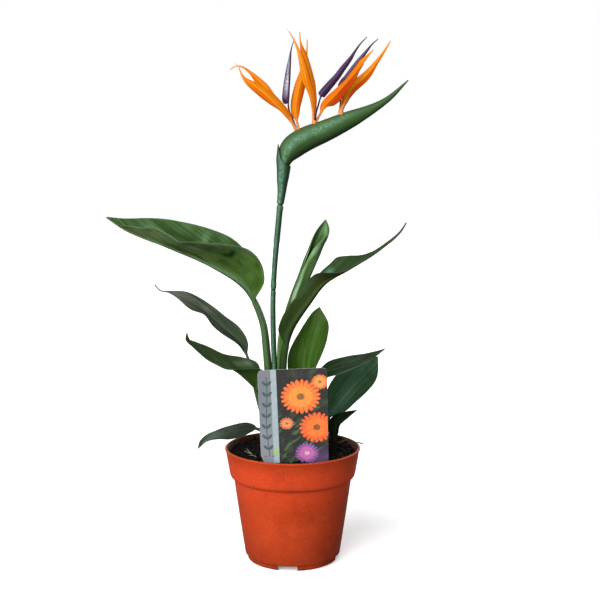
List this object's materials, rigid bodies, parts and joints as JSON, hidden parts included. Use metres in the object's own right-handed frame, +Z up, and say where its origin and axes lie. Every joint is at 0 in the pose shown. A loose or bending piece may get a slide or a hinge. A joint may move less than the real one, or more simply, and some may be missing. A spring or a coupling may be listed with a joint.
{
  "type": "potted bird of paradise",
  "caption": "Potted bird of paradise: arching leaves on long stalks and one upright stem with a crested orange and purple flower, in a nursery pot of soil with a plant label.",
  "frame": {"origin": "on the floor, under the middle of the whole plant's bounding box; the pot's axis stands at about x = 43.5 mm because the plant leans to the left", "axes": "+Z up along the pot's axis; -Y is the front, where the label faces; +X is the plant's right as seen from the front"},
  "size_m": [0.368, 0.1698, 0.6523],
  "materials": {
    "pot": "matte terracotta-coloured plastic",
    "soil": "damp, crumbly peat",
    "label": "printed plastic card with a satin surface",
    "leaf": "leathery green leaf, satin above and duller below",
    "stem": "smooth bluish-green stem with a satin sheen",
    "bract": "smooth bluish-green bract with a satin sheen",
    "sepal": "satin orange petal with fine lengthwise lines",
    "arrow": "dark violet petal with a pale sheen"
  },
  "bodies": {
    "root": {"pot": "pot", "soil": "soil", "label": "label", "leaf_01_large_left": "leaf", "leaf_02_dusky_left": "leaf", "leaf_03_lower_left": "leaf", "leaf_04_over_left_rim": "leaf", "leaf_05_rolled": "leaf", "leaf_06_arching_right": "leaf", "leaf_07_short_upright": "leaf", "leaf_08_level_right": "leaf", "leaf_09_broad_right": "leaf", "leaf_10_over_right_rim": "leaf", "flower_stem": "stem", "sheath_bract": "bract", "spathe": "bract", "floret_1_sepals": "sepal", "floret_2_sepals": "sepal", "floret_3_sepals": "sepal", "floret_1_arrow": "arrow", "floret_2_arrow": "arrow", "floret_3_arrow": "arrow"}
  },
  "joints": []
}
